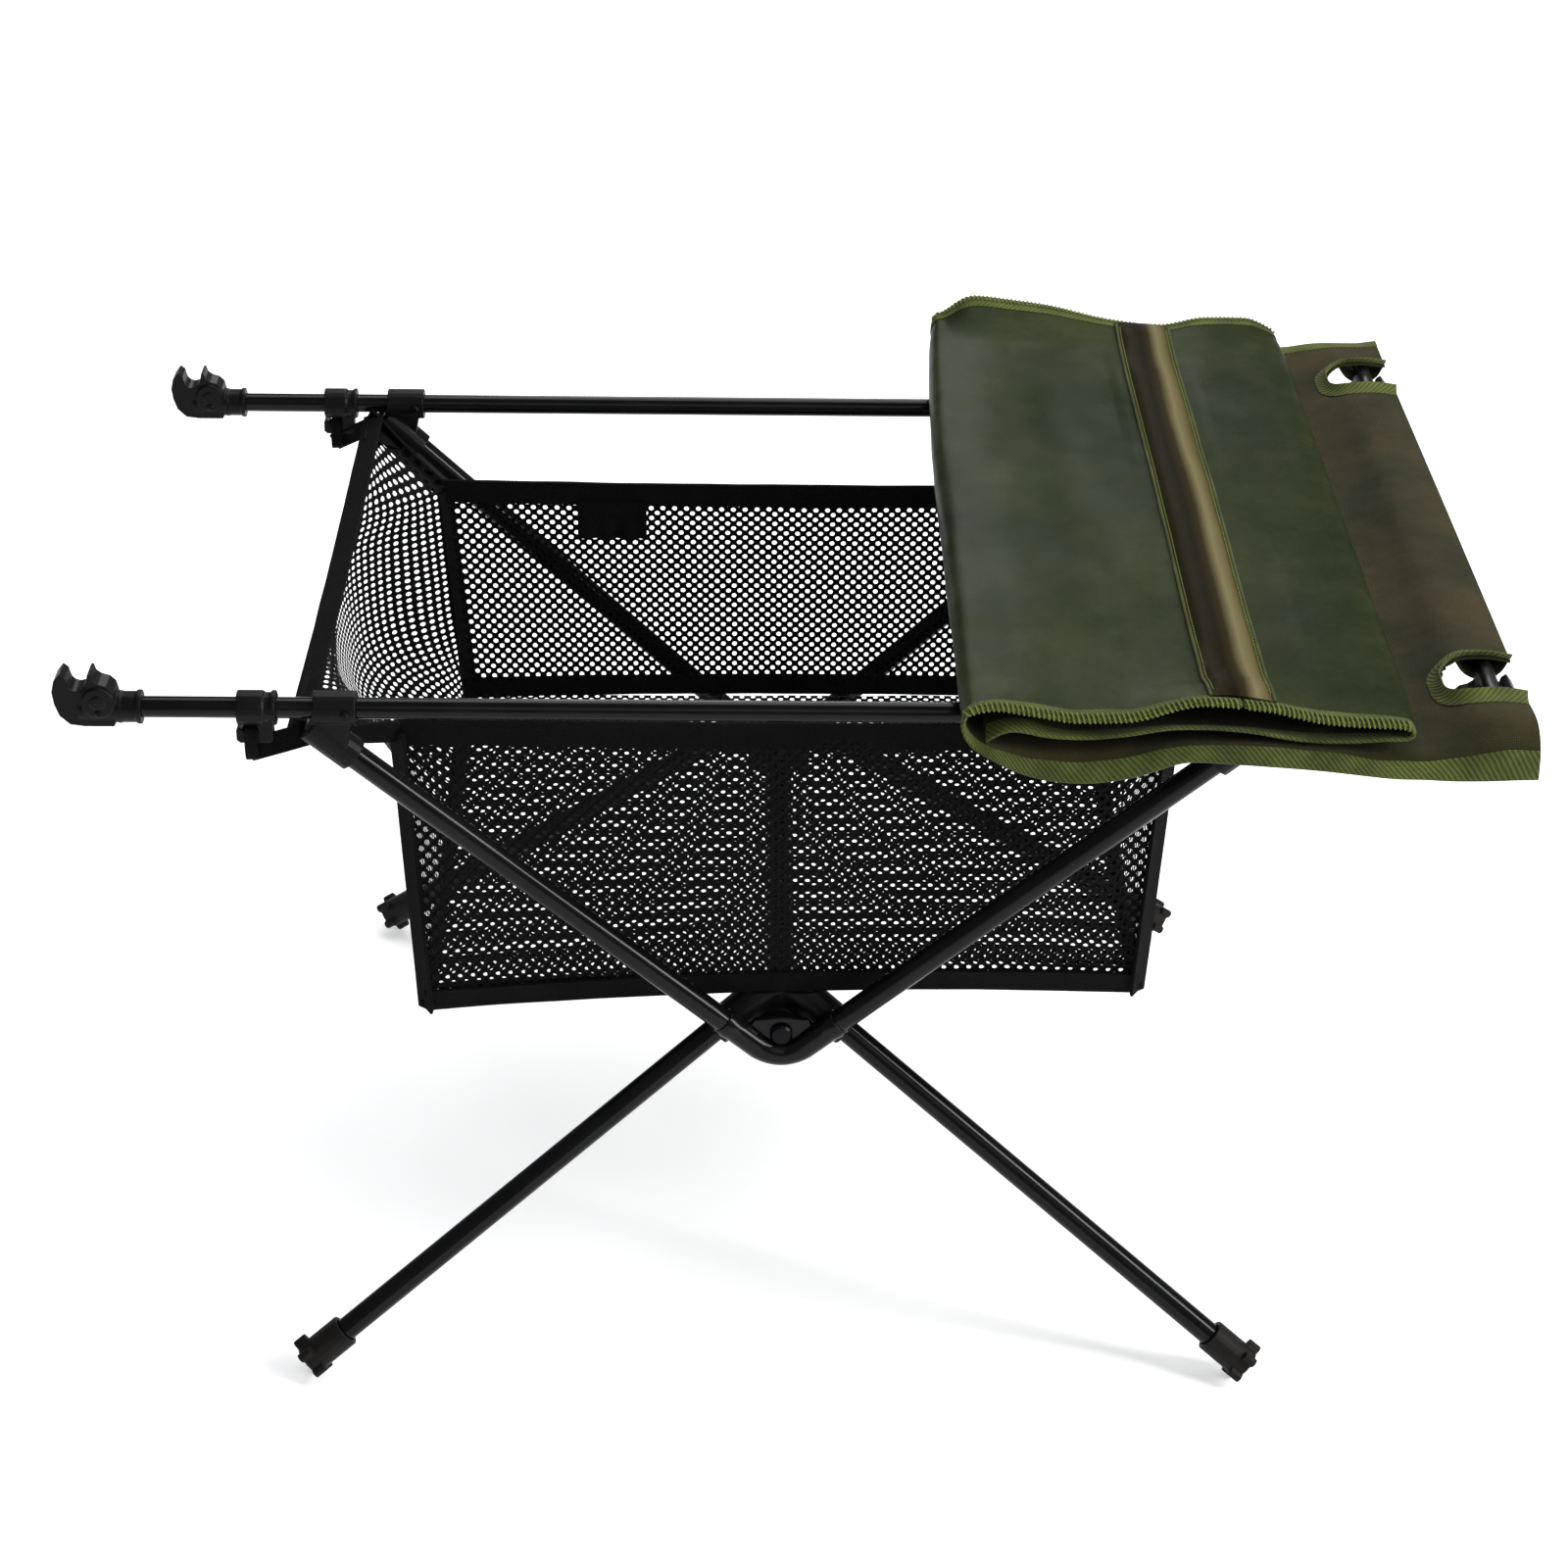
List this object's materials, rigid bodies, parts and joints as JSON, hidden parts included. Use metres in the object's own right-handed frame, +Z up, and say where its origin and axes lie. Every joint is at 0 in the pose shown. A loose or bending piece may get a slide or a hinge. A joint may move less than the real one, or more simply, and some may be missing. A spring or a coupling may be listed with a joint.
{
  "type": "folding camp table",
  "caption": "Low folding camp table: crossed pole frame, hung mesh basket under the top, and a roll-up fabric top clipped at one end and rolled back over itself.",
  "frame": {"origin": "on the floor under the middle of the frame", "axes": "+X along the rails towards the end where the top is clipped on, +Y to the rear, +Z up"},
  "size_m": [0.674, 0.46, 0.3949],
  "materials": {
    "frame": "gloss black anodised",
    "plastic": "satin moulded black",
    "rubber": "matte black",
    "rivet": "dark satin",
    "net": "open polyester mesh",
    "webbing": "woven tape",
    "coated": "smooth coated backing, olive green",
    "woven": "coarse woven polyester, olive brown",
    "strap": "satin brown webbing",
    "rod": "plain drawn"
  },
  "bodies": {
    "frame_body": {"rail_front": "frame", "elbow_front": "frame", "hub_front": "plastic", "hub_rivet_front": "rivet", "rail_rear": "frame", "elbow_rear": "frame", "hub_rear": "plastic", "hub_rivet_rear": "rivet", "crossbar": "frame", "claw_fl": "plastic", "claw_pin_fl": "rivet", "collar_fl": "plastic", "bracket_fl": "plastic", "bracket_pin_fl": "rivet", "pole_fl": "frame", "basket_loop_fl": "webbing", "claw_fr": "plastic", "claw_pin_fr": "rivet", "collar_fr": "plastic", "bracket_fr": "plastic", "bracket_pin_fr": "rivet", "pole_fr": "frame", "basket_loop_fr": "webbing", "claw_rl": "plastic", "claw_pin_rl": "rivet", "collar_rl": "plastic", "bracket_rl": "plastic", "bracket_pin_rl": "rivet", "pole_rl": "frame", "basket_loop_rl": "webbing", "claw_rr": "plastic", "claw_pin_rr": "rivet", "collar_rr": "plastic", "bracket_rr": "plastic", "bracket_pin_rr": "rivet", "pole_rr": "frame", "basket_loop_rr": "webbing", "basket": "net", "basket_label": "webbing", "top_lower": "woven", "hem_rod_right": "rod"},
    "top_fold": {"top_rolled": "coated", "top_sleeve": "strap", "top_batten": "rod", "hem_rod_left": "rod"},
    "lower_leg_fl": {"leg_fl": "frame", "foot_fl": "rubber"},
    "lower_leg_fr": {"leg_fr": "frame", "foot_fr": "rubber"},
    "lower_leg_rl": {"leg_rl": "frame", "foot_rl": "rubber"},
    "lower_leg_rr": {"leg_rr": "frame", "foot_rr": "rubber"}
  },
  "joints": [
    {"name": "top_unroll", "type": "hinge", "parent": "frame_body", "child": "top_fold", "pos_m": [0.07383, 0, 0.38225], "axis": [0, -1, 0], "range_deg": [0, 180]},
    {"name": "leg_pull_fl", "type": "slide", "parent": "frame_body", "child": "lower_leg_fl", "axis": [-0.7653, -0.2357, -0.599], "range_m": [0, 0.019], "stiffness_N_per_m": 300, "springref_m": -0.03},
    {"name": "leg_pull_fr", "type": "slide", "parent": "frame_body", "child": "lower_leg_fr", "axis": [0.7653, -0.2357, -0.599], "range_m": [0, 0.019], "stiffness_N_per_m": 300, "springref_m": -0.03},
    {"name": "leg_pull_rl", "type": "slide", "parent": "frame_body", "child": "lower_leg_rl", "axis": [-0.7653, 0.2357, -0.599], "range_m": [0, 0.019], "stiffness_N_per_m": 300, "springref_m": -0.03},
    {"name": "leg_pull_rr", "type": "slide", "parent": "frame_body", "child": "lower_leg_rr", "axis": [0.7653, 0.2357, -0.599], "range_m": [0, 0.019], "stiffness_N_per_m": 300, "springref_m": -0.03}
  ]
}
